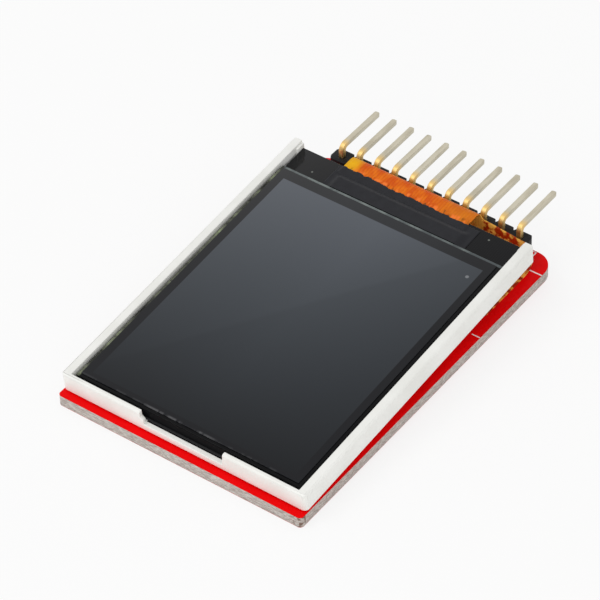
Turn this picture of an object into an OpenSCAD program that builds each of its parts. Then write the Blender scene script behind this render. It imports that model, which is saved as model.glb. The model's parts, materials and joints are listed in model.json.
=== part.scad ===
// Small colour display module: a liquid-crystal panel with an LED backlight,
// held by foam tape on a circuit board that carries one row of bent header pins.
// Millimetres. The origin is the centre of the board's underside; +X runs across the
// board, +Y towards the pins and +Z up through the panel.

/* [Board] */
// Thickness of the circuit board
board_t = 1.5; // [1:0.1:2.4]
// Corner radius beside the pins
far_corner_r = 2.5; // [0.5:0.1:4]
// Corner radius at the plain end
near_corner_r = 0.5; // [0.2:0.1:3]
// Board left bare in front of the panel
near_margin = 1; // [0.4:0.1:6]
// Board left bare beside each side of the panel
side_margin = 0; // [0:0.1:4]
// Distance from the pin row to the board's edge
row_inset = 1.35; // [1.3:0.05:4]

/* [Header] */
// Number of pins
pin_count = 11; // [4:1:12]
// Spacing of the pins
pin_pitch = 2.54; // [2:0.01:2.54]
// Side of the square pin
pin_side = 0.64; // [0.4:0.02:0.7]
// Height of the plastic body
body_h = 2.54; // [1.5:0.02:4]
// Depth of the plastic body across the row
body_d = 2.1; // [1.6:0.05:2.54]
// Half width of the V between two segments of the body
body_cut = 0.25; // [0.1:0.05:0.5]
// Depth of the V between two segments of the body
body_notch = 0.45; // [0.2:0.05:0.7]
// Straight length of a pin between the body and its bend
pin_stand = 0.85; // [0:0.05:2]
// Radius of the pin's bend at its middle
pin_bend_r = 0.65; // [0.5:0.05:1.5]
// Straight length of a pin past its bend
pin_run = 6.8; // [3:0.1:12]
// Upward slope of the bent pins in degrees
pin_rise = 0; // [0:0.5:15]
// Length of pin below the board
tail_l = 1.4; // [1:0.1:3]
// Length of the point on each pin
pin_point = 0.25; // [0.1:0.05:0.5]
// Diameter of the drilled pin holes
hole_d = 1.02; // [1:0.01:1.2]
// Diameter of the solder on its pad
solder_d = 1.7; // [1.4:0.05:1.9]
// Height of the solder cone
solder_h = 0.9; // [0.4:0.05:0.95]

/* [Panel frame] */
// Width of the moulded frame
frame_w = 34; // [31:0.5:44]
// Length of the moulded frame
frame_l = 44.8; // [40:0.1:60]
// Height of the moulded frame
frame_h = 2.6; // [2.45:0.05:4]
// Thickness of the side rails above the shelf
rail_w = 1.15; // [0.6:0.05:1.6]
// Thickness of the near wall above the shelf
wall_t = 0.55; // [0.4:0.05:1.2]
// Width of the shelf that the glass lies over
shelf_w = 0.85; // [0.6:0.05:1.6]
// Depth of the cross bar at the far end
bar_d = 1.2; // [0.8:0.05:2]
// Rounding of the frame's outer edges
edge_r = 0.3; // [0.1:0.05:0.5]
// Rounding of the frame's upright corners
frame_corner_r = 0.6; // [0.3:0.05:1.5]
// Width of the notch in the near wall
notch_w = 11.6; // [4:0.1:20]
// Depth of the notch in the near wall
notch_d = 1.75; // [0.6:0.05:1.9]
// Size of the step in the notch's left end
notch_step = 0.45; // [0.2:0.05:0.8]
// Length of the lug inside each rail's far end
lug_l = 1.4; // [1:0.1:3]
// Gap between each lug and the glass
lug_fit = 0.05; // [0.02:0.01:0.08]
// How far the lugs stop below the rails' tops
lug_drop = 0.35; // [0.1:0.05:1]
// Slope of the panel over the board in degrees
panel_tilt = 4.25; // [3.8:0.05:7]

/* [Backlight] */
// Thickness of the reflector film
reflector_t = 0.1; // [0.05:0.01:0.3]
// Thickness of the light guide
guide_t = 0.7; // [0.6:0.05:1.2]
// Thickness of each diffuser or prism film
film_t = 0.08; // [0.04:0.01:0.15]
// Thickness of the black rim tape
rim_t = 0.06; // [0.03:0.01:0.15]
// Width of the black rim tape
rim_w = 1.5; // [1:0.05:2]
// Number of backlight LEDs
led_count = 3; // [1:1:5]
// Width of one LED
led_w = 3; // [1.6:0.1:4]
// Depth of one LED
led_d = 0.9; // [0.6:0.05:1.1]
// Height of one LED
led_h = 0.6; // [0.3:0.05:0.7]
// Thickness of the LED strip's flex
led_flex_t = 0.1; // [0.06:0.01:0.15]

/* [Glass] */
// Thickness of each sheet of glass
glass_t = 0.5; // [0.3:0.05:0.6]
// Thickness of the rear polarizer
rear_pol_t = 0.12; // [0.08:0.01:0.25]
// Thickness of the front polarizer
front_pol_t = 0.18; // [0.08:0.01:0.25]
// Margin of glass left outside each polarizer
pol_margin = 0.4; // [0.2:0.05:1]
// Gap between the glass and the side rails
side_gap = 0.3; // [0.1:0.05:0.8]
// Gap between the glass and the near wall
near_gap = 0.45; // [0.1:0.05:1]
// Gap from the glass's far end to the rails' ends
far_gap = 0.3; // [0.2:0.05:1.5]
// Length of the ledge that the chip is bonded to
ledge_l = 4.05; // [3.4:0.05:6]
// Length of the driver chip
chip_l = 17.4; // [10:0.1:20]
// Width of the driver chip
chip_w = 1.1; // [0.6:0.05:1.3]
// Thickness of the driver chip
chip_t = 0.4; // [0.2:0.05:0.45]
// Width of the black cover tape
cover_w = 20.2; // [18:0.1:26]
// Thickness of the black cover tape
cover_t = 0.07; // [0.04:0.01:0.12]

/* [Flex] */
// Thickness of the flex
flex_t = 0.12; // [0.08:0.01:0.2]
// Length of flex bonded to the glass
bond_l = 1.25; // [0.8:0.05:1.5]
// Width of the flex where it leaves the glass
neck_w = 17.9; // [10:0.1:22]
// Sideways place of the neck's centre
neck_x = -0.65; // [-4:0.05:4]
// Gap from the wide flex to the frame's rail line
wing_gap = 0.35; // [0.1:0.05:4]
// How far the wing's shoulder slopes down
wing_slope = 0.6; // [0.1:0.05:1]
// Radius of the loop's upper bend
bend_top_r = 1.1; // [0.7:0.05:1.6]
// Radius of the loop's lower bend
bend_low_r = 1.6; // [0.6:0.05:1.8]
// Gap between the loop and the header body
loop_gap = 0.35; // [0.1:0.05:1.5]
// Space between the frame and the header body
header_room = 2.4; // [2:0.05:8]
// Length of flex that lies on the board
flat_l = 8; // [3:0.1:14]
// Number of soldered flex contacts
contact_count = 12; // [6:1:18]
// Spacing of the soldered flex contacts
contact_pitch = 1; // [0.7:0.05:1.1]
// Width of one soldered contact
contact_w = 0.6; // [0.3:0.05:0.65]
// How far the solder runs out from the flex's edge
joint_l = 0.8; // [0.4:0.05:1.5]
// Height of the solder over the flex
joint_h = 0.2; // [0.1:0.01:0.4]

/* [Tape and parts] */
// Thickness of the foam tape at the near edge
tape_t = 0.2; // [0.1:0.05:0.6]
// Length of each foam tape strip along the panel
tape_l = 4; // [2:0.1:10]
// Width of each foam tape strip
tape_w = 12; // [4:0.1:14]
// Distance from the pin row to the row of small parts
parts_back = 6.5; // [4:0.1:12]
// Distance from the board's side to the outermost small part
parts_inset = 4.4; // [2:0.1:5]
// Body length of the small regulator and transistor
sot_l = 2.9; // [2:0.1:3.2]
// Body width of the small regulator and transistor
sot_w = 1.3; // [1:0.05:1.8]
// Height of the small regulator and transistor
sot_h = 1; // [0.8:0.05:1.1]
// Length of each lead's foot
foot_l = 0.45; // [0.2:0.05:0.6]
// Width of each lead
lead_w = 0.4; // [0.3:0.02:0.5]
// Thickness of each lead
lead_t = 0.12; // [0.08:0.01:0.2]
// Length of a chip resistor or capacitor
chip_part_l = 1.6; // [1:0.05:2.1]
// Width of a chip resistor or capacitor
chip_part_w = 0.8; // [0.5:0.05:1.3]
// Height of a chip resistor
resistor_h = 0.45; // [0.3:0.05:0.6]
// Height of a chip capacitor
capacitor_h = 0.8; // [0.4:0.05:1]

/* [Hidden] */
$fn = 48;
eps = 0.01;

pin_ids = [for (i = [1:pin_count]) str("header_pin_", i)];
solder_ids = [for (i = [1:pin_count]) str("header_solder_", i)];
led_ids = [for (i = [1:led_count]) str("backlight_led_", i)];

// Levels in the panel, measured square to it from the frame's underside
guide_z = reflector_t;
film_z = guide_z + guide_t;
shelf_h = film_z + 3*film_t;
rear_pol_z = shelf_h + rim_t;
tft_z = rear_pol_z + rear_pol_t;
filter_z = tft_z + glass_t;
front_pol_z = filter_z + glass_t;

// Lengths along the panel, from its near outer edge
inner_w = frame_w - 2*rail_w;
window_w = inner_w - 2*shelf_w;
glass_w = inner_w - 2*side_gap;
lug_w = side_gap - lug_fit;
glass_v = wall_t + near_gap;
tft_end = frame_l - far_gap;
filter_end = tft_end - ledge_l;
window_v = wall_t + shelf_w;
rim_v = wall_t + near_gap/4;
bar_v = frame_l - bar_d;
guide_gap = 0.1;
guide_end = filter_end;
led_v = guide_end + 0.05;
flex_v = tft_end - bond_l;
chip_v = (filter_end + flex_v - chip_w)/2;

// Places on the board
board_w = frame_w + 2*side_margin;
panel_reach = frame_l*cos(panel_tilt);
board_l = near_margin + panel_reach + header_room + body_d/2 + row_inset;
near_y = -board_l/2;
far_y = board_l/2;
row_y = far_y - row_inset;
body_near_y = row_y - body_d/2;
body_top = board_t + body_h;
bend_base = body_top + pin_stand;
function pin_x(i) = (i - (pin_count + 1)/2)*pin_pitch;

// A place in the panel, [along, up], turned into the board's [y, z]
function on_panel(v, w) = [
  near_y + near_margin + v*cos(panel_tilt) - w*sin(panel_tilt),
  board_t + tape_t + v*sin(panel_tilt) + w*cos(panel_tilt)];

// Route of the flex's middle line in [y, z]
loop_y = body_near_y - loop_gap - flex_t/2;
bond_start = on_panel(flex_v, filter_z + flex_t/2);
bond_end = on_panel(tft_end, filter_z + flex_t/2);
bend_y = loop_y - bend_top_r*(1 + sin(panel_tilt));
bend_z = bond_end[1] + (bend_y - bond_end[0])*tan(panel_tilt);
top_centre = [bend_y + bend_top_r*sin(panel_tilt), bend_z - bend_top_r*cos(panel_tilt)];
low_z = board_t + flex_t/2;
low_r = min(bend_low_r, top_centre[1] - low_z - 0.3);
low_centre = [loop_y - low_r, low_z + low_r];
flat_y = low_centre[0] - flat_l;
arc_steps = 10;
upper_route = concat(
  [bond_start],
  [for (i = [0:arc_steps]) let (a = panel_tilt - i*(90 + panel_tilt)/arc_steps)
    top_centre + bend_top_r*[-sin(a), cos(a)]]);
lower_route = concat(
  [[loop_y, top_centre[1]]],
  [for (i = [0:arc_steps]) let (a = -90*i/arc_steps)
    low_centre + low_r*[cos(a), sin(a)]],
  [[flat_y, low_z]]);

neck_left = neck_x - neck_w/2;
neck_right = neck_x + neck_w/2;
wing_right = max(inner_w/2 - wing_gap, neck_right + 0.5);
wide_left = neck_left;
wing_w = wing_right - neck_right;
contact_x = (wide_left + wing_right)/2;

module on_tilt() {
  translate([0, near_y + near_margin, board_t + tape_t]) rotate([panel_tilt, 0, 0]) children();
}

// A flat sheet in the panel, centred across it
module sheet(w, v0, v1, z, t) {
  on_tilt() translate([-w/2, v0, z]) cube([w, v1 - v0, t]);
}

// Square with its own radius on the near and the far pair of corners
module plate_outline(w, l, near_r, far_r) {
  translate([-w/2, -l/2 + near_r]) square([w, l - near_r - far_r]);
  translate([-w/2 + near_r, -l/2]) square([w - 2*near_r, near_r + eps]);
  translate([-w/2 + far_r, l/2 - far_r - eps]) square([w - 2*far_r, far_r + eps]);
  for (s = [-1, 1]) {
    translate([s*(w/2 - near_r), -l/2 + near_r]) circle(near_r);
    translate([s*(w/2 - far_r), l/2 - far_r]) circle(far_r);
  }
}

module circuit_board() color("firebrick") difference() {
  linear_extrude(board_t) plate_outline(board_w, board_l, near_corner_r, far_corner_r);
  for (i = [1:pin_count])
    translate([pin_x(i), row_y, -1]) cylinder(d = hole_d, h = board_t + 2);
}

// One eight-sided segment for each pin, with a V between neighbours
module header_body() color("dimgray") translate([0, 0, board_t]) difference() {
  linear_extrude(body_h) for (i = [1:pin_count]) translate([pin_x(i), row_y]) {
    a = pin_pitch/2;
    b = body_d/2;
    polygon([[-a, -b + body_notch], [-a + body_cut, -b], [a - body_cut, -b], [a, -b + body_notch],
             [a, b - body_notch], [a - body_cut, b], [-a + body_cut, b], [-a, b - body_notch]]);
  }
  for (i = [1:pin_count])
    translate([pin_x(i) - pin_side/2, row_y - pin_side/2, -1])
      cube([pin_side, pin_side, body_h + 2]);
}

// Square wire: tail, bend over the body's top, and a run past the board's edge
module pin_end(l) {
  s = pin_side/2;
  linear_extrude(l - pin_point) square(pin_side, center = true);
  translate([0, 0, l - pin_point]) polyhedron(
    [[-s, -s, 0], [s, -s, 0], [s, s, 0], [-s, s, 0],
     [-s/2, -s/2, pin_point], [s/2, -s/2, pin_point],
     [s/2, s/2, pin_point], [-s/2, s/2, pin_point]],
    [[0, 1, 2, 3], [7, 6, 5, 4], [4, 5, 1, 0], [5, 6, 2, 1], [6, 7, 3, 2], [7, 4, 0, 3]]);
}

module header_pin(i) color("khaki") translate([pin_x(i), row_y, bend_base]) {
  translate([0, 0, eps]) mirror([0, 0, 1]) pin_end(bend_base + tail_l + eps);
  translate([0, pin_bend_r, 0]) rotate([90, 0, -90])
    rotate_extrude(angle = 90 - pin_rise)
      translate([pin_bend_r, 0]) square(pin_side, center = true);
  translate([0, pin_bend_r, 0]) rotate([pin_rise - 90, 0, 0])
    translate([0, -pin_bend_r, -eps]) pin_end(pin_run + eps);
}

// Solder fills the hole round the square pin and ends in a cone on the underside
module header_solder(i) color("silver") translate([pin_x(i), row_y, 0]) difference() {
  rotate_extrude() polygon([
    [0, board_t], [hole_d/2, board_t], [hole_d/2, 0], [solder_d/2, 0],
    [solder_d/2, -0.06], [0.36*solder_d, -0.3*solder_h],
    [0.3*solder_d, -0.65*solder_h], [pin_side*0.78, -solder_h], [0, -solder_h]]);
  translate([-pin_side/2, -pin_side/2, -tail_l - 1])
    cube([pin_side, pin_side, board_t + tail_l + 2]);
}

// Foam tape, pressed to a wedge between the board and the sloping frame
module foam_tape(side) color("gainsboro") difference() {
  translate([side > 0 ? window_w/2 - tape_w : -window_w/2,
             near_y + near_margin + window_v, board_t])
    cube([tape_w, tape_l, tape_t + 2*tape_l*tan(panel_tilt)]);
  on_tilt() translate([-frame_w, -frame_l, 0]) cube([2*frame_w, 3*frame_l, 3*frame_h]);
}

// Section across the rails, with its two upper edges rounded
module frame_section() {
  translate([-frame_w/2, 0]) square([frame_w, frame_h - edge_r]);
  translate([-frame_w/2 + edge_r, 0]) square([frame_w - 2*edge_r, frame_h]);
  for (s = [-1, 1]) translate([s*(frame_w/2 - edge_r), frame_h - edge_r]) circle(edge_r);
}

// Section along the panel, with its upper near edge rounded
module frame_side() {
  square([frame_l, frame_h - edge_r]);
  translate([edge_r, 0]) square([frame_l - edge_r, frame_h]);
  translate([edge_r, frame_h - edge_r]) circle(edge_r);
}

// Moulded tray: rails, near wall, low far bar and a shelf round the window
module panel_frame() color("white") on_tilt() difference() {
  intersection() {
    translate([0, frame_l, 0]) rotate([90, 0, 0]) linear_extrude(frame_l) frame_section();
    rotate([90, 0, 90]) translate([0, 0, -frame_w/2]) linear_extrude(frame_w) frame_side();
    translate([0, frame_l/2, -1]) linear_extrude(frame_h + 2)
      plate_outline(frame_w, frame_l, frame_corner_r, edge_r);
  }
  // window for the light guide and films, right through the floor
  translate([-window_w/2, window_v, -1]) cube([window_w, bar_v - window_v, frame_h + 2]);
  // room for the glass over the shelf, open past the far bar
  translate([-inner_w/2, wall_t, shelf_h]) cube([inner_w, frame_l - lug_l - wall_t, frame_h]);
  translate([-inner_w/2 + lug_w, wall_t, shelf_h]) cube([inner_w - 2*lug_w, frame_l, frame_h]);
  translate([-inner_w/2, wall_t, frame_h - lug_drop]) cube([inner_w, frame_l, frame_h]);
  notch();
}

// Notch in the near wall and the shelf behind it, with one stepped end
module notch() {
  b = frame_h - notch_d;
  translate([0, glass_v, 0]) rotate([90, 0, 0]) linear_extrude(glass_v + 1) polygon([
    [-notch_w/2, frame_h + 1], [-notch_w/2, b + notch_d*0.55],
    [-notch_w/2 + notch_step, b + notch_d*0.35], [-notch_w/2 + notch_step, b],
    [notch_w/2 - notch_step/2, b], [notch_w/2, frame_h + 1]]);
}

module reflector_film() color("white")
  sheet(window_w - guide_gap, window_v + guide_gap/2, bar_v - guide_gap/2, 0, reflector_t);

module light_guide() color("lightcyan")
  sheet(window_w - 2*guide_gap, window_v + guide_gap, guide_end, guide_z, guide_t);

module led_strip() color("goldenrod")
  sheet(window_w - 2*guide_gap, led_v, bar_v - guide_gap, guide_z, led_flex_t);

module backlight_led(i) color("lightyellow")
  on_tilt() translate([(i - (led_count + 1)/2)*window_w/led_count - led_w/2, led_v,
                       guide_z + led_flex_t]) difference() {
    cube([led_w, led_d, led_h]);
    // shallow light window in the face against the guide
    translate([0.3, -eps, 0.12]) cube([led_w - 0.6, 0.15, led_h - 0.24]);
  }

module film(n) sheet(window_w - 2*guide_gap, window_v + guide_gap, guide_end - n*guide_gap,
                     film_z + n*film_t, film_t);
module diffuser_film() color("whitesmoke") film(0);
module prism_film_lower() color("lightgray") film(1);
module prism_film_upper() color("silver") film(2);

// Black tape round the window: it lies on the shelf, the far bar and the films' edges
module rim_tape() color("black") on_tilt() translate([0, 0, shelf_h]) difference() {
  translate([-glass_w/2, rim_v, 0]) cube([glass_w, tft_end - rim_v, rim_t]);
  translate([-glass_w/2 + rim_w + side_gap, glass_v + rim_w, -1])
    cube([glass_w - 2*(rim_w + side_gap), filter_end - glass_v - 2*rim_w, rim_t + 2]);
}

module rear_polarizer() color("darkslategray")
  sheet(glass_w - 2*pol_margin, glass_v + pol_margin, filter_end - pol_margin,
        rear_pol_z, rear_pol_t);

module tft_glass() color("lightslategray")
  sheet(glass_w, glass_v, tft_end, tft_z, glass_t);

module filter_glass() color("slategray")
  sheet(glass_w, glass_v, filter_end, filter_z, glass_t);

module front_polarizer() color("midnightblue")
  sheet(glass_w - 2*pol_margin, glass_v + pol_margin, filter_end - pol_margin/2,
        front_pol_z, front_pol_t);

module driver_chip() color("dimgray")
  sheet(chip_l, chip_v, chip_v + chip_w, filter_z, chip_t);

// Cover tape: flat over the chip, then down onto the bonded end of the flex
module cover_tape() color("black") on_tilt() {
  hi = filter_z + chip_t;
  lo = filter_z + flex_t;
  path = [[filter_end + 0.05, hi], [chip_v + chip_w, hi],
          [flex_v + 0.3, lo], [tft_end - 0.1, lo]];
  translate([-cover_w/2, 0, 0]) rotate([90, 0, 90]) linear_extrude(cover_w)
    polygon(concat(path, [for (i = [3:-1:0]) path[i] + [0, cover_t]]));
}

// Band of even thickness along a route
function unit(v) = v/norm(v);
function side_of(path, i) = let (
    a = path[max(i - 1, 0)], b = path[min(i + 1, len(path) - 1)], d = unit(b - a))
  [-d[1], d[0]]*flex_t/2;
module band(path, x0, x1) {
  n = len(path) - 1;
  translate([x0, 0, 0]) rotate([90, 0, 90]) linear_extrude(x1 - x0) polygon(concat(
    [for (i = [0:n]) path[i] + side_of(path, i)],
    [for (i = [n:-1:0]) path[i] - side_of(path, i)]));
}

// Flex: narrow on the glass and over the upper bend, wide below it, flat on the board
module display_flex() color("darkorange") {
  band(upper_route, neck_left, neck_right);
  difference() {
    band(lower_route, wide_left, wing_right);
    // a wedge taken off above the sloping shoulder
    translate([neck_right, loop_y, top_centre[1]])
      rotate([0, atan(wing_slope/wing_w), 0])
        translate([0, -flex_t, 0]) cube([2*wing_w, 2*flex_t, 2*wing_slope]);
  }
}

// Solder over the flex's contacts at the edge where it meets the board's pads
module flex_solder() color("silver") for (i = [1:contact_count])
  translate([contact_x + (i - (contact_count + 1)/2)*contact_pitch - contact_w/2,
             flat_y, board_t])
    rotate([90, 0, 90]) linear_extrude(contact_w) polygon([
      [-joint_l, 0], [0, 0], [0, flex_t], [0.75*joint_l, flex_t],
      [0.62*joint_l, flex_t + 0.6*joint_h], [0, flex_t + joint_h],
      [-0.62*joint_l, 0.75*joint_h]]);

// Small parts on the underside, in one evenly spaced row that hangs below z = 0
part_row = ["capacitor_1", "regulator", "capacitor_2", "capacitor_3",
            "resistor_1", "resistor_2", "backlight_transistor", "resistor_3"];
part_step = (board_w - 2*parts_inset)/(len(part_row) - 1);
function part_x(name) = parts_inset - board_w/2 + part_step*search([name], part_row)[0];
module under(name, turn) translate([part_x(name), row_y - parts_back, 0])
  mirror([0, 0, 1]) rotate(turn) children();

// Moulded body with sloping sides and three formed leads
module sot() {
  lift = lead_t;
  mid = sot_h/2;
  slope = 0.06*sot_w;
  h = lead_t/2;
  // the lead's knee, and the two turns of its foot
  a = sot_w/2 + 1.7*lead_t;
  b = a + 0.6*lead_t;
  c = b + foot_l;
  rotate([90, 0, 0]) translate([0, 0, -sot_l/2]) linear_extrude(sot_l) polygon([
    [-sot_w/2 + slope, lift], [sot_w/2 - slope, lift], [sot_w/2, mid],
    [sot_w/2 - 1.5*slope, sot_h], [-sot_w/2 + 1.5*slope, sot_h], [-sot_w/2, mid]]);
  for (p = [[-1, 0], [1, -1], [1, 1]])
    translate([0, p[1]*sot_l/3, 0]) mirror([p[0] < 0 ? 1 : 0, 0, 0]) rotate([90, 0, 0])
      translate([0, 0, -lead_w/2]) linear_extrude(lead_w) polygon([
        [sot_w/2 - slope/2, mid - h], [a, mid - h], [b, 0], [c, 0], [c, lead_t],
        [b + lead_t, lead_t], [a + lead_t, mid + h], [sot_w/2 - slope/2, mid + h]]);
}

// Ceramic block with a slightly proud metal cap on each end
module chip_part(h) {
  cap = 0.2*chip_part_l;
  proud = 0.04*chip_part_w;
  translate([-chip_part_l/2 + cap/2, -chip_part_w/2, proud])
    cube([chip_part_l - cap, chip_part_w, h - 2*proud]);
  for (s = [0, 1]) mirror([s, 0, 0]) translate([chip_part_l/2 - cap, -chip_part_w/2 - proud, 0])
    cube([cap, chip_part_w + 2*proud, h]);
}

module regulator() color("dimgray") under("regulator", 0) sot();
module backlight_transistor() color("dimgray") under("backlight_transistor", 0) sot();
module capacitor(i) color("tan") under(str("capacitor_", i), 90) chip_part(capacitor_h);
module resistor(i) color("darkslategray") under(str("resistor_", i), 90) chip_part(resistor_h);

circuit_board();
header_body();
for (i = [1:pin_count]) {
  header_pin(i);
  header_solder(i);
}
foam_tape(-1);  // foam_tape_left
foam_tape(1);  // foam_tape_right
panel_frame();
reflector_film();
light_guide();
for (i = [1:led_count]) backlight_led(i);
led_strip();
diffuser_film();
prism_film_lower();
prism_film_upper();
rim_tape();
rear_polarizer();
tft_glass();
filter_glass();
front_polarizer();
driver_chip();
cover_tape();
display_flex();
flex_solder();
regulator();
backlight_transistor();
for (i = [1:3]) {
  capacitor(i);
  resistor(i);
}
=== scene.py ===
import json
import math

import bmesh
import bpy
from mathutils import Matrix, Vector, noise


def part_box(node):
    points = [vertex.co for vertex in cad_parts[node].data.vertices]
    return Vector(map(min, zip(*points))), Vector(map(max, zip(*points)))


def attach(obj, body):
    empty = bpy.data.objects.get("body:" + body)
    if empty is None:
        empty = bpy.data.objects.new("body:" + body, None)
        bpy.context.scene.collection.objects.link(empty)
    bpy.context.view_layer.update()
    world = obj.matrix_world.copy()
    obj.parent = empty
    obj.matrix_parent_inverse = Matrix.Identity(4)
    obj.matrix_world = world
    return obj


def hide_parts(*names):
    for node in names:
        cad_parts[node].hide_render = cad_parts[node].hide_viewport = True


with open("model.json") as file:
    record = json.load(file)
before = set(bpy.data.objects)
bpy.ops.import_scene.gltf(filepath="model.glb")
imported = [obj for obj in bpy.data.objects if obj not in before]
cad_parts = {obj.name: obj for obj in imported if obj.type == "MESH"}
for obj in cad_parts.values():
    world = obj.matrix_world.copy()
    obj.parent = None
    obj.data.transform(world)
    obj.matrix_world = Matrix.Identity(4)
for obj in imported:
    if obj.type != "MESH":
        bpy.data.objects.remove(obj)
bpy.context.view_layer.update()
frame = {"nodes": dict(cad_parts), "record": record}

# ---------------------------------------------------------------------------
# View and studio. The module stands on a white table under soft light and is
# seen from above its near right corner through a long lens. It rests on the
# board's near lower edge and on the pin tails, so the table slopes to meet both.
MM = 0.001
board_low, board_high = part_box("circuit_board")
tail = min(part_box(n)[0].z for n in frame["nodes"] if n.startswith("header_pin"))
tail_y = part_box("header_solder_1")[0].lerp(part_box("header_solder_1")[1], 0.5).y

azimuth, elevation, roll = (math.radians(a) for a in (37.598, 43.126, -2.069))
forward = Vector((-math.sin(azimuth) * math.cos(elevation),
                  math.cos(azimuth) * math.cos(elevation), -math.sin(elevation)))
level = Vector((math.cos(azimuth), math.sin(azimuth), 0))
upright = level.cross(forward)
right = math.cos(roll) * level + math.sin(roll) * upright
up = -math.sin(roll) * level + math.cos(roll) * upright
camera = bpy.data.objects.new("camera", bpy.data.cameras.new("camera"))
camera.data.lens, camera.data.sensor_width = 222.27, 36
camera.data.clip_start, camera.data.clip_end = 0.01, 20
camera.matrix_world = Matrix.Translation(Vector((186.881, -244.607, 294.028)) * MM) @ \
    Matrix((right, up, -forward)).transposed().to_4x4()
bpy.context.scene.collection.objects.link(camera)
bpy.context.scene.camera = camera
bpy.context.scene.view_settings.view_transform = "Standard"


class Wire:
    """An output of a shader node that can be used in sums like a number."""

    def __init__(self, tree, socket):
        self.tree, self.socket = tree, socket

    def math(self, operation, other=0.0, flip=False):
        node = self.tree.nodes.new("ShaderNodeMath")
        node.operation = operation
        for place, value in zip(node.inputs, (other, self) if flip else (self, other)):
            if isinstance(value, Wire):
                self.tree.links.new(value.socket, place)
            else:
                place.default_value = value
        return Wire(self.tree, node.outputs[0])

    def __add__(self, other):
        return self.math("ADD", other)

    def __sub__(self, other):
        return self.math("SUBTRACT", other)

    def __rsub__(self, other):
        return self.math("SUBTRACT", other, flip=True)

    def __mul__(self, other):
        return self.math("MULTIPLY", other)

    def __gt__(self, other):
        return self.math("GREATER_THAN", other)

    def __lt__(self, other):
        return self.math("LESS_THAN", other)

    def __or__(self, other):
        return self.math("MAXIMUM", other)

    def __abs__(self):
        return self.math("ABSOLUTE")

    __radd__, __rmul__ = __add__, __mul__


def shade(red, green, blue):
    """A colour given as it shows on a screen, 0 to 255, as the linear one a shader takes."""
    part = [v / 255 for v in (red, green, blue)]
    return (*(v / 12.92 if v <= 0.04045 else ((v + 0.055) / 1.055) ** 2.4 for v in part), 1)


class Finish:
    """A material round one Principled shader. Constants are set on its own sockets."""

    def __init__(self, name, **constants):
        self.material = bpy.data.materials.new(name)
        self.material.use_nodes = True
        self.tree = self.material.node_tree
        self.shader = self.tree.nodes["Principled BSDF"]
        for key, value in constants.items():
            self.shader.inputs[key.replace("_", " ")].default_value = value

    def node(self, kind, settings=None, inputs=None, output=0):
        node = self.tree.nodes.new("ShaderNode" + kind)
        for key, value in (settings or {}).items():
            if key == "stops":
                while len(node.color_ramp.elements) < len(value):
                    node.color_ramp.elements.new(0.5)
                for stop, (place, colour) in zip(node.color_ramp.elements, value):
                    stop.position, stop.color = place, colour
            else:
                setattr(node, key, value)
        for key, value in (inputs or {}).items():
            if isinstance(value, Wire):
                self.tree.links.new(value.socket, node.inputs[key])
            else:
                node.inputs[key].default_value = value
        return Wire(self.tree, node.outputs[output])

    def place(self, turn=0.0, origin=(0, 0, 0)):
        """Millimetres in the board's frame, or in one turned about X with its own origin."""
        shift = Matrix.Rotation(-turn, 3, "X") @ Vector(origin) * -1
        self.where = self.node("Mapping", {}, {
            "Vector": self.node("TexCoord", output=3), "Scale": (1000,) * 3,
            "Rotation": (-turn, 0, 0), "Location": shift})
        return self.split(self.where)

    def split(self, wire):
        first = self.node("SeparateXYZ", {}, {"Vector": wire})
        return [Wire(self.tree, s) for s in first.socket.node.outputs]

    def grain(self, scale, detail=2.0, stretch=(1, 1, 1), rough=0.5, at=(0, 0, 0)):
        """Soft noise, about 0.5 on average, at a scale given in grains per millimetre."""
        where = self.node("Mapping", {}, {"Vector": self.where, "Scale": stretch, "Location": at})
        return self.node("TexNoise", {}, {"Vector": where, "Scale": scale, "Detail": detail,
                                          "Roughness": rough})

    def step(self, wire, low, high):
        """0 below low, 1 above high and smooth between."""
        return self.node("MapRange", {"interpolation_type": "SMOOTHSTEP"},
                         {"Value": wire, "From Min": low, "From Max": high})

    def mix(self, share, first, second):
        return self.node("Mix", {"data_type": "RGBA"}, {0: share, 6: first, 7: second}, 2)

    def bump(self, height, distance, strength=1.0):
        """Relief in millimetres."""
        self.link("Normal", self.node("Bump", {}, {
            "Height": height, "Distance": distance * MM, "Strength": strength}))

    def link(self, name, wire):
        self.tree.links.new(wire.socket, self.shader.inputs[name])

    def paint(self, *pieces):
        for piece in pieces:
            piece.data.materials.clear()
            piece.data.materials.append(self.material)


def new_piece(name, shape, finish=None, slot=None, replaces=(), smooth=35):
    """Turns a bmesh into a piece that rides on the module."""
    mesh = bpy.data.meshes.new(name)
    shape.to_mesh(mesh)
    shape.free()
    piece = bpy.data.objects.new(name, mesh)
    bpy.context.scene.collection.objects.link(piece)
    if smooth:
        mesh.polygons.foreach_set("use_smooth", [True] * len(mesh.polygons))
        mesh.set_sharp_from_angle(angle=math.radians(smooth))
    if finish:
        finish.paint(piece)
    if slot:
        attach(piece, "root")
    if replaces:
        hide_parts(*replaces)
    return piece


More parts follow.
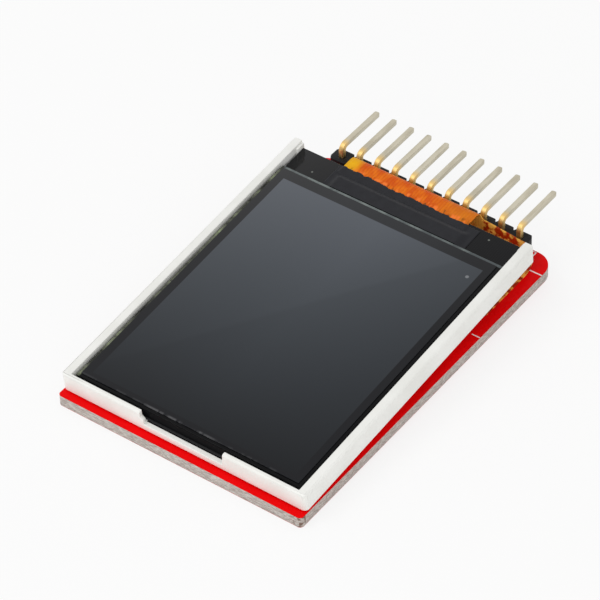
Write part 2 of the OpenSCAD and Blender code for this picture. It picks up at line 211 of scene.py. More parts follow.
table_slope = math.atan2(tail - board_low.z, tail_y - board_low.y)
shape = bmesh.new()
bmesh.ops.create_circle(shape, cap_ends=True, segments=64, radius=4)
bmesh.ops.transform(shape, verts=shape.verts, matrix=Matrix.Translation(
    (0, board_low.y, board_low.z)) @ Matrix.Rotation(table_slope, 4, "X"))
white = Finish("table_white", Base_Color=shade(246, 246, 246), Roughness=0.9)
white.shader.inputs["Specular IOR Level"].default_value = 0.1
white.place()
white.link("Base Color", white.mix(white.grain(0.02), shade(244, 244, 243), shade(248, 248, 248)))
rays = white.node("LightPath").socket.node
seen = Wire(white.tree, rays.outputs["Is Camera Ray"]) \
    | Wire(white.tree, rays.outputs["Is Glossy Ray"]) \
    | Wire(white.tree, rays.outputs["Is Transmission Ray"])
glow = white.node("Emission", {}, {"Color": (1, 1, 1, 1), "Strength": 1.0})
blend = white.node("MixShader", {}, {0: seen * 0.8, 1: Wire(white.tree, white.shader.outputs[0]),
                                     2: glow})
white.tree.links.new(blend.socket, white.tree.nodes["Material Output"].inputs["Surface"])
table = new_piece("table", shape, white, smooth=0)

world = bpy.data.worlds.new("studio")
bpy.context.scene.world = world
world.use_nodes = True
sky = world.node_tree
rays = sky.nodes.new("ShaderNodeLightPath")
seen = Wire(sky, rays.outputs["Is Camera Ray"]) | Wire(sky, rays.outputs["Is Glossy Ray"]) \
    | Wire(sky, rays.outputs["Is Transmission Ray"])
sky.nodes["Background"].inputs["Color"].default_value = (1, 1, 1, 1)
sky.links.new((seen * 0.3 + 0.7).socket, sky.nodes["Background"].inputs["Strength"])
for name, place, size, power in (("key_light", (-0.3, -0.35, 0.65), 0.4, 1.3),
                                 ("fill_light", (0.45, -0.6, 0.3), 0.6, 1.0)):
    lamp = bpy.data.objects.new(name, bpy.data.lights.new(name, "AREA"))
    lamp.data.shape, lamp.data.size, lamp.data.energy = "DISK", size, power
    lamp.location = place
    lamp.rotation_euler = (-Vector(place)).to_track_quat("-Z", "Y").to_euler()
    bpy.context.scene.collection.objects.link(lamp)

# ---------------------------------------------------------------------------
# Circuit board. Glass-fibre laminate, sawn to size so that the pale fibres show
# at its edges, with a glossy red solder mask rolled over the copper on both faces.


def welded(node, ease=0.0, rounds=2, angle=30, merge=1e-6):
    """A bmesh of a node's skin, welded from its loose triangles, with sharp edges eased (mm)."""
    shape = bmesh.new()
    shape.from_mesh(frame["nodes"][node].data)
    bmesh.ops.remove_doubles(shape, verts=shape.verts, dist=merge)
    bmesh.ops.dissolve_limit(shape, angle_limit=math.radians(0.5), verts=shape.verts,
                             edges=shape.edges)
    if ease:
        sharp = [e for e in shape.edges
                 if e.is_manifold and e.calc_face_angle(0) > math.radians(angle)]
        bmesh.ops.bevel(shape, geom=sharp, offset=ease * MM, affect="EDGES", segments=rounds,
                        profile=0.5, material=-1, clamp_overlap=True)
    return shape


board_t = (board_high.z - board_low.z) / MM
mask = Finish("red_mask_on_laminate")
x, y, z = mask.place()
face = (z > board_t - 0.035) | (z < 0.035)
fibre = mask.grain(1.6, 3, (1, 1, 7), 0.6)
weave = mask.grain(3.2, 2, (1, 1, 2.2))
laminate = mask.mix(mask.step(fibre, 0.3, 0.7), shade(226, 218, 211), shade(168, 152, 145))
laminate = mask.mix(mask.step(weave, 0.5, 0.68) * 0.5, laminate, shade(205, 208, 204))
scorch = mask.step(mask.grain(2.1, 2), 0.5, 0.6) * mask.step(x, 15.2, 16.6) * (y < -24.4)
laminate = mask.mix(scorch * 0.8, laminate, shade(118, 84, 66))
lacquer = mask.mix(mask.step(mask.grain(0.12, 2), 0.35, 0.65), shade(244, 2, 7), shade(234, 1, 4))
mask.link("Base Color", mask.mix(face, laminate, lacquer))
mask.link("Roughness", 0.85 - face * 0.45)
mask.shader.inputs["Specular IOR Level"].default_value = 0.05
mask.bump(fibre * (1 - face) * 3 + mask.grain(2.5, 1) * 0.2, 0.05)
new_piece("board", welded("circuit_board", 0.05), mask, "board", ["circuit_board"])

# Pads and through-holes' rims on both faces: thin copper, tinned by hot air.
tin = Finish("tinned_copper", Metallic=1.0)
tin.place()
tin.link("Base Color", tin.mix(tin.step(tin.grain(3, 2), 0.35, 0.65), shade(214, 214, 212),
                               shade(186, 186, 184)))
tin.link("Roughness", 0.25 + tin.grain(4, 2) * 0.2)
tin.bump(tin.grain(2.5, 2), 0.01)


def disc(shape, x, y, low, high, radius, hole=0.0, segments=24):
    """A ring or disc that stands square to the board, in millimetres."""
    made = bmesh.ops.create_circle(shape, segments=segments, radius=radius)["verts"]
    rim = list({e for v in made for e in v.link_edges})
    if hole:
        inner = bmesh.ops.create_circle(shape, segments=segments, radius=hole)["verts"]
        rim += list({e for v in inner for e in v.link_edges})
        made += inner
        flat = bmesh.ops.bridge_loops(shape, edges=rim)["faces"]
    else:
        flat = bmesh.ops.contextual_create(shape, geom=rim)["faces"]
    bmesh.ops.translate(shape, verts=made, vec=(x, y, low))
    grown = bmesh.ops.extrude_face_region(shape, geom=flat)["geom"]
    bmesh.ops.translate(shape, vec=(0, 0, high - low),
                        verts=[g for g in grown if isinstance(g, bmesh.types.BMVert)])


def slab(shape, low, high, ease=0.0, rounds=1):
    """A block between two corners, in millimetres, with eased edges."""
    low, high = Vector(low), Vector(high)
    made = bmesh.ops.create_cube(shape, size=1)["verts"]
    bmesh.ops.scale(shape, vec=high - low, verts=made)
    bmesh.ops.translate(shape, vec=(low + high) / 2, verts=made)
    if ease:
        edges = list({e for v in made for e in v.link_edges})
        bmesh.ops.bevel(shape, geom=edges, offset=ease, affect="EDGES", segments=rounds,
                        profile=0.5, material=-1, clamp_overlap=True)


def ribbon(shape, points, width, low, high):
    """A flat strip with mitred corners that follows points, from one height to another."""
    rows = []
    for i, (x, y) in enumerate(points):
        here = Vector((x, y))
        steps = [(Vector(points[j + 1]) - Vector(points[j])).normalized()
                 for j in (i - 1, i) if 0 <= j < len(points) - 1]
        along = sum(steps, Vector((0, 0))).normalized()
        across = Vector((-along.y, along.x)) * width / 2 / max(along.dot(steps[0]), 0.5)
        rows.append([shape.verts.new((*(here + s * across), low)) for s in (1, -1)])
    flat = [shape.faces.new((a[0], a[1], b[1], b[0])) for a, b in zip(rows, rows[1:])]
    grown = bmesh.ops.extrude_face_region(shape, geom=flat)["geom"]
    bmesh.ops.translate(shape, vec=(0, 0, high - low),
                        verts=[g for g in grown if isinstance(g, bmesh.types.BMVert)])


def finish_shape(shape):
    """Millimetres to metres, with every face turned outwards."""
    bmesh.ops.scale(shape, vec=(MM,) * 3, verts=shape.verts)
    bmesh.ops.recalc_face_normals(shape, faces=shape.faces)
    return shape


pins = sorted((n for n in frame["nodes"] if n.startswith("header_pin")),
              key=lambda n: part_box(n)[0].x)
pin_x = [(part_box(n)[0].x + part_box(n)[1].x) / 2 / MM for n in pins]
row_y = tail_y / MM
flex_low, flex_high = (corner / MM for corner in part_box("display_flex"))
contacts_low, contacts_high = (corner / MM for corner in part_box("flex_solder"))
contact_count, contact_w = 12, 0.6
contact_step = (contacts_high.x - contacts_low.x - contact_w) / (contact_count - 1)
contact_x = [contacts_low.x + contact_w / 2 + i * contact_step for i in range(contact_count)]
small_parts = ["capacitor_1", "capacitor_2", "capacitor_3", "resistor_1", "resistor_2",
               "resistor_3", "regulator", "backlight_transistor"]
pad_t, pad_radius, hole_radius = 0.03, 0.93, 0.52
shape = bmesh.new()
for x in pin_x:
    disc(shape, x, row_y, -pad_t, 0, pad_radius, hole_radius)
    disc(shape, x, row_y, board_t, board_t + pad_t, pad_radius, hole_radius)
for x in contact_x:
    slab(shape, (x - 0.32, contacts_low.y - 0.1, board_t - 0.01),
         (x + 0.32, flex_low.y, board_t + pad_t / 2))
for name in small_parts:
    low, high = (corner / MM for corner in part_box(name))
    middle = (low + high) / 2
    for side in (-1, 1):
        if name[0] in "cr" and "_" in name:
            slab(shape, (low.x - 0.1, middle.y + side * 0.85 - 0.4, -pad_t),
                 (high.x + 0.1, middle.y + side * 0.85 + 0.4, 0))
new_piece("board_pads", finish_shape(shape), tin, "solder")

# Copper tracks on the underside, a raised line under the mask, from the header's
# pins between the small parts to a double row of vias near the display's contacts.
under = Finish("mask_over_copper", Roughness=0.4)
under.place()
under.shader.inputs["Specular IOR Level"].default_value = 0.2
under.link("Base Color", under.mix(under.grain(0.4), shade(252, 30, 22), shade(238, 18, 14)))
under.bump(under.grain(2.5, 1), 0.01)
lanes = (-11.2, -6.9, -4.2, -3.0, -0.7, 0.0, 0.7, 3.0, 4.2, 6.9, 11.2)
shape = bmesh.new()
via_shape = bmesh.new()
for i, (x, lane) in enumerate(zip(pin_x, lanes)):
    end = 3 + (i - 5) * 1.1
    stop = 4 + 1.1 * (i % 2)
    ribbon(shape, [(x, row_y - 0.8), (x, 21.9), (lane, 21.9 - abs(x - lane)), (lane, 15.6),
                   (end, 15.6 - abs(lane - end)), (end, stop)], 0.3, -0.02, 0)
    disc(shape, end, stop, -0.02, 0, 0.42)
    disc(via_shape, end, stop, -0.028, 0, 0.2, 0.1, 16)
ribbon(shape, [(-15.4, -23.6), (-15.4, 21.0), (-13.4, 23.0)], 0.8, -0.02, 0)
ribbon(shape, [(15.4, -23.6), (15.4, 21.0), (13.4, 23.0)], 0.8, -0.02, 0)
new_piece("board_tracks", finish_shape(shape), under, "board")
new_piece("board_vias", finish_shape(via_shape), tin, "solder")

# White ink printed on the mask: the panel's outline and ticks on top, and part
# outlines on the underside.
ink = Finish("printed_white", Roughness=0.6)
ink.place()
ink.link("Base Color", ink.mix(ink.step(ink.grain(6, 2), 0.45, 0.75), shade(255, 250, 249),
                               shade(247, 226, 224)))
ink.bump(ink.grain(8, 1), 0.004)
shape = bmesh.new()
top = (board_t, board_t + 0.015)
for side in (-1, 1):
    ribbon(shape, [(side * 17.0, 22.1), (side * 15.1, 22.1), (side * 15.1, -22.9)], 0.16, *top)
    ribbon(shape, [(side * 15.85, 9.4), (side * 16.98, 9.4)], 0.16, *top)
    ribbon(shape, [(side * 14.3, 22.6), (side * 14.3, 25.1)], 0.14, *top)
ribbon(shape, [(-14.3, 25.05), (14.3, 25.05)], 0.12, *top)
for name in small_parts:
    low, high = (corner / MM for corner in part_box(name))
    for side in (low.x - 0.3, high.x + 0.3):
        ribbon(shape, [(side, low.y - 0.3), (side, high.y + 0.3)], 0.12, -0.035, 0)
new_piece("board_print", finish_shape(shape), ink, "board")

# ---------------------------------------------------------------------------
# Pin header. Square brass wire with a thin dull plating, bent over the top of a
# black moulded strip of eight-sided segments, and soldered through the board.
moulded = Finish("black_header_plastic", Roughness=0.5)
moulded.shader.inputs["Specular IOR Level"].default_value = 0.2
moulded.place()
moulded.link("Base Color", moulded.mix(moulded.grain(0.9, 3), shade(12, 12, 14),
                                       shade(22, 22, 25)))
moulded.bump(moulded.grain(9, 2), 0.01)
new_piece("header_strip", welded("header_body", 0.07), moulded, "header_plastic",
          ["header_body"])

plated = Finish("dull_plated_pin", Metallic=1.0)
x, y, z = plated.place()
# The golden tint near the bend is a painted reflection of the orange flex beside the pins.
bend = 1 - plated.step(y, row_y + 0.2, row_y + 1.5)
dull = plated.mix(plated.step(plated.grain(1.5, 3, (1, 0.25, 1)), 0.35, 0.7),
                  shade(204, 198, 180), shade(188, 181, 162))
plated.link("Base Color", plated.mix(bend * 0.85, dull, shade(228, 192, 116)))
plated.link("Roughness", 0.42 + plated.grain(3, 2) * 0.16)
plated.bump(plated.grain(2.2, 3, (1, 0.2, 1)), 0.012)
for i, name in enumerate(pins):
    new_piece(f"pin_{i + 1}", welded(name, 0.07, 3), plated, "pin_metal", [name], 60)

joint = Finish("bright_solder", Metallic=1.0, Roughness=0.22)
joint.place()
joint.link("Base Color", joint.mix(joint.step(joint.grain(1.4, 2), 0.4, 0.7),
                                   shade(222, 222, 224), shade(192, 192, 196)))
joint.bump(joint.grain(1.8, 2), 0.03)
for i, name in enumerate(sorted((n for n in frame["nodes"] if n.startswith("header_solder")),
                                key=lambda n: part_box(n)[0].x)):
    new_piece(f"pin_joint_{i + 1}", welded(name), joint, "solder", [name], 50)

# ---------------------------------------------------------------------------
# Foam tape. Two strips of white double-sided foam, die cut, that hold the tray's
# near end down and are squeezed to a wedge by its slope.
foam = Finish("white_foam", Roughness=0.95)
foam.place()
cells = foam.node("TexVoronoi", {}, {"Vector": foam.where, "Scale": 5.0})
foam.link("Base Color", foam.mix(cells, shade(236, 236, 232), shade(212, 212, 206)))
foam.bump(cells, 0.05)
foam.paint(frame["nodes"]["foam_tape_left"], frame["nodes"]["foam_tape_right"])

# ---------------------------------------------------------------------------
# Panel tray. One white injection moulding: two side rails, a near wall with a
# stepped notch, a low bar at the far end and a shelf that the glass lies over.
screen = next(m for m in frame["record"]["mounts"] if m["name"] == "screen_face")
tilt = math.atan2(-screen["axis"][1], screen["axis"][2])
panel_origin = Vector((0, board_low.y / MM + 1.0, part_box("panel_frame")[0].z / MM))
panel = Matrix.Translation(panel_origin) @ Matrix.Rotation(tilt, 4, "X")

tray = Finish("white_tray_plastic", Roughness=0.42)
u, v, w = tray.place(tilt, panel_origin)
tray.link("Base Color", tray.mix(tray.step(tray.grain(0.25, 3), 0.3, 0.7),
                                 shade(247, 247, 243), shade(240, 240, 235)))
tray.bump(tray.grain(7, 2) + tray.grain(0.5, 1) * 2, 0.008)
new_piece("panel_tray", welded("panel_frame", 0.1, 3), tray, "frame_plastic", ["panel_frame"])

# ---------------------------------------------------------------------------
# Backlight. A moulded clear guide lit by white LEDs at its far end, between a
# white reflector and three thin films, with black tape round its window.
def simple(name, node_names, light, dark, scale, rough, relief=0.01, stretch=(1, 1, 1), **more):
    """A finish of two near tones in soft patches, for pieces that are CAD nodes."""
    made = Finish(name, **more)
    made.place()
    patches = made.grain(scale, 3, stretch)
    made.link("Base Color", made.mix(made.step(patches, 0.3, 0.7), light, dark))
    made.link("Roughness", rough + patches * 0.15)
    made.bump(patches, relief)
    made.paint(*(frame["nodes"][n] for n in node_names))


leds = [n for n in frame["nodes"] if n.startswith("backlight_led_")]
simple("reflector_white", ["reflector_film"], shade(244, 245, 246), shade(236, 238, 240), 0.3, 0.3)
simple("clear_guide", ["light_guide"], shade(226, 236, 238), shade(206, 220, 224), 0.2, 0.05)
simple("haze_film", ["diffuser_film"], shade(236, 238, 240), shade(228, 230, 233), 0.5, 0.6)
simple("prism_film", ["prism_film_lower", "prism_film_upper"], shade(210, 214, 218),
       shade(190, 195, 200), 12, 0.2, 0.02, (1, 0.02, 1))
simple("led_resin", leds, shade(240, 226, 150), shade(232, 214, 120), 1.5, 0.3)
simple("led_strip_film", ["led_strip"], shade(216, 128, 40), shade(196, 108, 30), 1.2, 0.35)
simple("black_rim_tape", ["rim_tape"], shade(24, 24, 26), shade(34, 34, 37), 2, 0.5)

# ---------------------------------------------------------------------------
# Display glass. Two scribed and snapped sheets of thin glass with a polarizer
# stuck on each outer face. The rear one stands out past the front as a ledge.
def spot(finish, first, second, x, y, radius):
    """1 inside a small round mark and 0 outside it."""
    gap = (first - x) * (first - x) + (second - y) * (second - y)
    return 1 - finish.step(gap, (radius * 0.7) ** 2, (radius * 1.2) ** 2)


rear = Finish("rear_glass", Roughness=0.08)
rear.shader.inputs["Specular IOR Level"].default_value = 0.12
u, v, w = rear.place(tilt, panel_origin)
edge = 1 - rear.step(w, 1.60, 1.68)
fan = rear.node("TexWave", {"bands_direction": "X"}, {
    "Vector": rear.where, "Scale": 1.1, "Distortion": 1.5, "Detail": 1.0})
ledge = rear.mix(fan * 0.15, shade(13, 13, 15), shade(36, 36, 40))
marks = spot(rear, u, v, -12.26, 41.72, 0.12) | spot(rear, u, v, -7.55, 41.94, 0.1) * 0.4 \
    | spot(rear, u, v, 11.66, 43.49, 0.13)
ledge = rear.mix(marks * 0.55, ledge, shade(150, 154, 146))
rear.link("Base Color", rear.mix(edge, ledge, shade(24, 27, 26)))
rear.bump(rear.grain(1.2, 2), 0.004)
new_piece("rear_glass_sheet", welded("tft_glass", 0.05), rear, "glass", ["tft_glass"])

front = Finish("front_glass", Roughness=0.08)
front.shader.inputs["Specular IOR Level"].default_value = 0.1
u, v, w = front.place(tilt, panel_origin)
long_noise = front.grain(0.35, 3, (0.2, 1, 0.2), 0.6)
fine_noise = front.grain(1.6, 2, (0.3, 1, 0.3))
wide_noise = front.grain(0.45, 3, (1, 0.2, 0.2), 0.6)
# The bare glass round the polarizer is near-black. Along its left edge, green and cream painted
# glints stand for light from the tray's white rail shining through the gap.
left_edge_painted_glints = front.node("ValToRGB", {"stops": [
    (0.30, shade(30, 31, 28)), (0.46, shade(66, 68, 60)), (0.58, shade(112, 116, 98)),
    (0.68, shade(146, 158, 122)), (0.77, shade(216, 208, 172))]}, {"Fac": long_noise})
# Along the far edge, a grey painted highlight stands for the light caught by the glass's far edge.
far_edge_painted_highlight = front.mix(front.step(wide_noise, 0.35, 0.65), shade(84, 90, 92), shade(124, 132, 130))
ring = front.mix(front.step(v, 40.02, 40.1), shade(9, 9, 11), far_edge_painted_highlight)
left = (u < -15.15) * (1 - front.step(v, 40.3, 40.4))
ring = front.mix(left * front.step(fine_noise, 0.2, 0.5), ring, left_edge_painted_glints)
front.link("Base Color", ring)
front.bump(front.grain(1.5, 2), 0.02)
new_piece("front_glass_sheet", welded("filter_glass", 0.06), front, "glass", ["filter_glass"])

simple("rear_polarizer_film", ["rear_polarizer"], shade(34, 36, 42), shade(28, 30, 35), 0.4, 0.15)

# The front polarizer over the unlit picture area, inside the black border of the colour filter. The
# studio's reflection is painted into its colour: the field goes from near-black at the near edge to
# grey-blue towards the chip, darker to the right and lighter above a diagonal, and the border is
# lighter towards the middle of its far side. It stops short of the glass's far edge, where a bare
# strip of glass shows.
film = Finish("front_polarizer_film", Roughness=0.1)
film.shader.inputs["Specular IOR Level"].default_value = 0.2
u, v, w = film.place(tilt, panel_origin)
inside = film.step(u, -14.09, -14.01) * (1 - film.step(u, 14.15, 14.23)) \
    * film.step(v, 2.1, 2.2) * (1 - film.step(v, 38.5, 38.6))
# Painted reflection: a lighter band above a diagonal, and a field lighter towards the chip and
# darker to the right.
painted_reflection_band = film.step(v - u * 1.378, 22.6, 24.1)
rise = film.node("MapRange", {}, {"Value": v, "From Min": 2.2, "From Max": 38.6,
                                  "To Min": 0.10, "To Max": 0.92})
fade = film.node("MapRange", {}, {"Value": u, "From Min": 0.0, "From Max": 14.2,
                                  "To Min": 1.0, "To Max": 0.62})
picture_with_painted_reflection = film.node("ValToRGB", {"stops": [
    (0.0, shade(8, 9, 12)), (0.25, shade(42, 46, 51)), (0.6, shade(66, 71, 77)),
    (1.0, shade(88, 93, 101))]}, {"Fac": rise * fade * (0.9 + painted_reflection_band * 0.1)})
# Painted reflection on the border: lighter towards the middle of its far side.
border_with_painted_reflection = film.mix(film.step(v, 34.0, 39.5) * film.step(8 - abs(u), -6.0, 4.0),
                  shade(20, 21, 25), shade(34, 36, 40))
surface = film.mix(inside, border_with_painted_reflection, picture_with_painted_reflection)
mark = spot(film, u, v, 13.2, 36.8, 0.22) * inside
surface = film.mix(mark * 0.6, surface, shade(150, 152, 156))
# Painted highlights: broken whitish dashes along the polarizer's near edge, where the glass's bevel
# catches the light.
near_edge_glint_dashes = film.grain(0.5, 3, (1, 0.1, 0.1), 0.65)
rim = (1 - film.step(v, 1.5, 1.7)) * film.step(near_edge_glint_dashes, 0.46, 0.56) \
    * (1 - film.step(abs(u + 1.5), 3.5, 6.0) * 0.75)
surface = film.mix(rim * 0.6, surface, shade(98, 98, 100))
film.link("Base Color", surface)
shape = welded("front_polarizer")
film_end = 40.0
far_cut = panel @ Vector((0, film_end, 0)) * MM
bmesh.ops.bisect_plane(shape, geom=shape.verts[:] + shape.edges[:] + shape.faces[:],
                       plane_co=far_cut, plane_no=panel.to_3x3() @ Vector((0, 1, 0)),
                       clear_outer=True)
bmesh.ops.holes_fill(shape, edges=shape.edges)
bmesh.ops.bevel(shape, geom=[e for e in shape.edges if e.is_manifold
                             and e.calc_face_angle(0) > 1], offset=0.04 * MM,
                affect="EDGES", segments=2, profile=0.5, material=-1)
new_piece("screen", shape, film, "polarizer", ["front_polarizer"])

# Black tape folded over the glass's near edge and down behind the tray's sill, so
# that no light leaks out of the notch.
shape = bmesh.new()
slab(shape, (-15.5, 0.92, 1.12), (15.5, 0.98, 2.23), 0.02)
slab(shape, (-5.3, 0.57, 0.86), (5.5, 0.97, 0.93), 0.02)
slab(shape, (-5.3, 0.9, 0.9), (5.5, 0.97, 1.14), 0.02)
bmesh.ops.transform(shape, verts=shape.verts, matrix=panel)
edging = Finish("black_edge_tape")
edging.shader.inputs["Specular IOR Level"].default_value = 0.05
edging.place()
edging.link("Base Color", edging.mix(edging.grain(1.5, 3), shade(8, 8, 9), shade(16, 16, 18)))
edging.link("Roughness", 0.5 + edging.grain(4, 2) * 0.2)
edging.bump(edging.grain(3, 2), 0.01)
new_piece("edge_tape", finish_shape(shape), edging, "black_tape")

simple("chip_silicon", ["driver_chip"], shade(44, 45, 50), shade(58, 60, 66), 0.8, 0.1)

# Black cover tape over the driver chip and the bonded end of the flex. It sags to
# the glass beside the chip, and its far edge is cut unevenly.
tape_t = 0.07
glass_top, chip_top, flex_top = 1.72, 2.12, 1.84
shape = bmesh.new()
columns, rows = 120, 40
bmesh.ops.create_grid(shape, x_segments=columns, y_segments=rows, size=1)


def ramp(value, low, high):
    t = min(max((value - low) / (high - low), 0), 1)
    return t * t * (3 - 2 * t)


for vert in shape.verts:
    across = vert.co.x * 10.1
    share = (vert.co.y + 1) / 2
    jag = noise.noise((across * 1.3, 5.1, 0)) * 0.22 + noise.noise((across * 4.1, 2.7, 0)) * 0.16
    far = 44.38 + min(jag, 0.07) - 0.2 * ramp(across, -7, -2) - 0.15 * ramp(across, 0, 9)
    along = 40.56 + share * (far - 40.56)
    on_chip = ramp(across, -9.5, -8.7) * (1 - ramp(across, 8.7, 9.5)) \
        * (1 - ramp(along, 42.3, 43.3))
    on_flex = ramp(along, 43.1, 43.3) * ramp(across, -9.8, -9.5) * (1 - ramp(across, 8.3, 8.6))
    height = glass_top + 0.01 + (chip_top - glass_top) * on_chip
    height = max(height, glass_top + 0.01 + (flex_top - glass_top) * on_flex)
    height += 0.012 * noise.noise((across * 0.8, along * 1.1, 3.3))
    vert.co = (across, along, height + tape_t)
bmesh.ops.transform(shape, verts=shape.verts, matrix=panel)
tape = Finish("black_cover_tape")
u, v, w = tape.place(tilt, panel_origin)
tape.link("Base Color", tape.mix(tape.grain(1.2, 3), shade(23, 23, 27), shade(35, 36, 41)))
tape.link("Roughness", 0.42 + tape.grain(4, 2) * 0.15)
tape.shader.inputs["Specular IOR Level"].default_value = 0.2
tape.bump(tape.grain(2.2, 3), 0.012)
cover = new_piece("chip_cover_tape", finish_shape(shape), tape, "black_tape", ["cover_tape"])
thick = cover.modifiers.new("thickness", "SOLIDIFY")
thick.thickness, thick.offset = tape_t * MM, -1

# ---------------------------------------------------------------------------
# Flex. Thin amber film with copper tracks inside, cut flat to a narrow neck and a
# wide tail, bonded to the glass, looped down in front of the header and soldered
# to the board under the panel.
flex_t, bend_top, bend_low = 0.12, 1.1, 1.6
bond_v, shoulder_drop = 43.25, 0.6
loop_y = flex_high.y - flex_t / 2
start = panel @ Vector((0, bond_v, glass_top + flex_t / 2))
top_centre = Vector((loop_y - bend_top, flex_high.z - bend_top - flex_t / 2))
low_centre = Vector((loop_y - bend_low, flex_low.z + flex_t / 2 + bend_low))
route = [Vector((start.y, start.z))]
for i in range(25):
    turn = tilt - (math.pi / 2 + tilt) * i / 24
    route.append(top_centre + bend_top * Vector((-math.sin(turn), math.cos(turn))))
for i in range(25):
    turn = -math.pi / 2 * i / 24
    route.append(low_centre + bend_low * Vector((math.cos(turn), math.sin(turn))))
route.append(Vector((flex_low.y, flex_low.z + flex_t / 2)))
lengths = [0.0]
for a, b in zip(route, route[1:]):
    lengths.append(lengths[-1] + (b - a).length)


def on_route(length):
    """The [y, z] place at a length along the flex's middle line."""
    for i, (a, b) in enumerate(zip(lengths, lengths[1:])):
        if length <= b or i == len(lengths) - 2:
            return route[i].lerp(route[i + 1], (length - a) / (b - a))


neck_left, neck_right, tail_right = flex_low.x, 8.3, flex_high.x
shoulder = lengths[25] + 0.02
shape = bmesh.new()
corners = [shape.verts.new((*c, 0)) for c in (
    (neck_left, 0), (neck_right, 0), (neck_right, shoulder), (tail_right, shoulder + shoulder_drop),
    (tail_right, lengths[-1]), (neck_left, lengths[-1]))]
shape.faces.new(corners)
bmesh.ops.bevel(shape, geom=corners[2:4], offset=0.45, affect="VERTICES", segments=5,
                profile=0.5, material=-1)
cuts = lengths[1:-1]
cuts += [lengths[0] + (lengths[1] - lengths[0]) * i / 6 for i in range(1, 6)]
cuts += [lengths[25] + (lengths[26] - lengths[25]) * i / 6 for i in range(1, 6)]
for length in sorted(cuts):
    bmesh.ops.bisect_plane(shape, geom=shape.verts[:] + shape.edges[:] + shape.faces[:],
                           plane_co=(0, length, 0), plane_no=(0, 1, 0), dist=1e-5)
for i in range(1, 50):
    bmesh.ops.bisect_plane(shape, geom=shape.verts[:] + shape.edges[:] + shape.faces[:],
                           plane_co=(neck_left + i * 0.51, 0, 0), plane_no=(1, 0, 0), dist=1e-5)
flat_map = shape.loops.layers.uv.new("flat_cut")
for facet in shape.faces:
    for corner in facet.loops:
        corner[flat_map].uv = (corner.vert.co.x * 0.1, corner.vert.co.y * 0.1)
for vert in shape.verts:
    across, along = vert.co.x, vert.co.y
    y, z = on_route(along)
    loose = ramp(across, neck_right, tail_right) * ramp(along, shoulder - 0.2, shoulder + 0.5) \
        * (1 - ramp(along, shoulder + 1.0, shoulder + 3.0))
    y -= loose * (0.12 + 0.08 * noise.noise((across * 0.7, along, 0)))
    vert.co = (across, y, z)
bmesh.ops.scale(shape, vec=(MM,) * 3, verts=shape.verts)

amber = Finish("amber_flex")
amber.shader.inputs["Specular IOR Level"].default_value = 0.12
amber.where = amber.node("Mapping", {}, {
    "Vector": amber.node("UVMap", {"uv_map": "flat_cut"}), "Scale": (10, 10, 10)})
across, along, _ = amber.split(amber.where)
tracks = amber.node("TexWave", {"bands_direction": "X", "wave_profile": "SIN"}, {
    "Vector": amber.where, "Scale": 0.8, "Distortion": 3.0, "Detail": 2.0,
    "Detail Scale": 0.5})
patches = amber.grain(0.75, 3, (1, 0.6, 1))
copper = amber.mix(amber.step(patches, 0.38, 0.66), shade(216, 88, 8), shade(238, 122, 18))
copper = amber.mix(amber.step(tracks, 0.4, 0.9) * 0.3, copper, shade(196, 70, 6))
clear = amber.mix(amber.grain(1.2, 2), shade(248, 190, 26), shade(226, 158, 16))
bare = 1 - amber.step(across, neck_left + 0.9, neck_left + 2.2)
colour = amber.mix(amber.step(across, 2.0, 7.0) * 0.55, copper, shade(206, 124, 24))
colour = amber.mix(bare, colour, clear)
teeth = amber.grain(1.25, 2, (1, 0.25, 1), 0.6, (3.1, 0, 0))
near_tape = 1 - amber.step(along, 1.3, 1.75)
colour = amber.mix(near_tape * amber.step(teeth, 0.5, 0.6) * (1 - bare), colour,
                   shade(252, 128, 50))
colour = amber.mix(near_tape * (1 - amber.step(teeth, 0.36, 0.44)) * 0.75, colour,
                   shade(112, 62, 10))
# A thin golden painted highlight along the crest of the upper bend, where the flex turns down.
crest = lengths[1] + bend_top * 0.87
rim = amber.step(along, crest - 0.12, crest + 0.06)
colour = amber.mix(rim * 0.8, colour, shade(250, 190, 84))
# Dark red painted shade in patches on the wide tail, for the shade inside the loop under the neck.
wing = amber.step(across, 8.4, 8.8)
loop_shade_patches = amber.grain(1.0, 2, (1, 1, 1), 0.5, (0.7, 5.2, 0))
colour = amber.mix(wing * amber.step(loop_shade_patches, 0.42, 0.56), colour, shade(168, 44, 6))
amber.link("Base Color", colour)
amber.link("Roughness", 0.4 + amber.grain(2, 2) * 0.15)
amber.bump(tracks * (1 - bare) * 0.6 + amber.grain(1.0, 2), 0.03)
flex = new_piece("flex", shape, amber, "flex", ["display_flex"], 60)
thick = flex.modifiers.new("thickness", "SOLIDIFY")
thick.thickness, thick.offset = flex_t * MM, 0

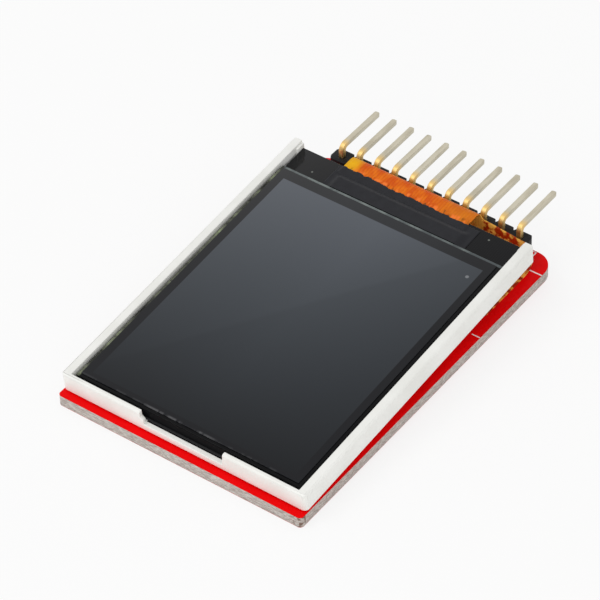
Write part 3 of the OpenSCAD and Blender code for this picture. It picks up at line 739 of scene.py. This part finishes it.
shape = bmesh.new()
for x in contact_x:
    made = bmesh.ops.create_uvsphere(shape, u_segments=12, v_segments=8, radius=1)["verts"]
    bmesh.ops.scale(shape, vec=(0.3, 0.7, 0.2), verts=made)
    bmesh.ops.translate(shape, vec=(x, flex_low.y - 0.02, board_t + 0.11), verts=made)
new_piece("flex_joints", finish_shape(shape), joint, "solder", ["flex_solder"])

# ---------------------------------------------------------------------------
# Small parts on the underside: two three-legged moulded packages and six fired
# ceramic chips with tinned ends, reflow soldered on their pads.
def part_finish(name, node_name, body, body_dark, ends_along_y, reach):
    """A moulded or fired body between metal ends."""
    made = Finish(name)
    x, y, z = made.place()
    low, high = (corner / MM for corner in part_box(node_name))
    middle = (low + high) / 2
    away = abs((y - middle.y) if ends_along_y else (x - middle.x))
    metal = away > reach
    grain = made.grain(3, 2)
    made.link("Base Color", made.mix(metal, made.mix(grain, body, body_dark),
                                     made.mix(grain, shade(216, 216, 214), shade(190, 190, 188))))
    made.link("Metallic", metal)
    made.link("Roughness", 0.55 - metal * 0.25)
    made.bump(grain, 0.01)
    return made


for name in small_parts:
    chip = name.startswith(("capacitor", "resistor"))
    if name.startswith("capacitor"):
        tones = (shade(178, 146, 104), shade(158, 126, 88))
    else:
        tones = (shade(34, 34, 37), shade(46, 46, 49))
    made = part_finish("finish_" + name, name, *tones, chip, 0.48 if chip else 0.66)
    new_piece("part_" + name, welded(name, 0.04 if chip else 0.02), made,
              name.split("_")[0] if chip else "part_body", [name])
shape = bmesh.new()
for name in small_parts:
    low, high = (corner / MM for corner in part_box(name))
    middle = (low + high) / 2
    if not name.startswith(("capacitor", "resistor")):
        continue
    for side in (-1, 1):
        made = bmesh.ops.create_uvsphere(shape, u_segments=12, v_segments=8, radius=1)["verts"]
        bmesh.ops.scale(shape, vec=(0.4, 0.28, 0.3), verts=made)
        bmesh.ops.translate(shape, vec=(middle.x, middle.y + side * 0.88, -0.03), verts=made)
        bmesh.ops.bisect_plane(shape, geom=shape.verts[:] + shape.edges[:] + shape.faces[:],
                               plane_co=(0, 0, 0), plane_no=(0, 0, 1), clear_outer=True)
new_piece("part_joints", finish_shape(shape), joint, "solder")
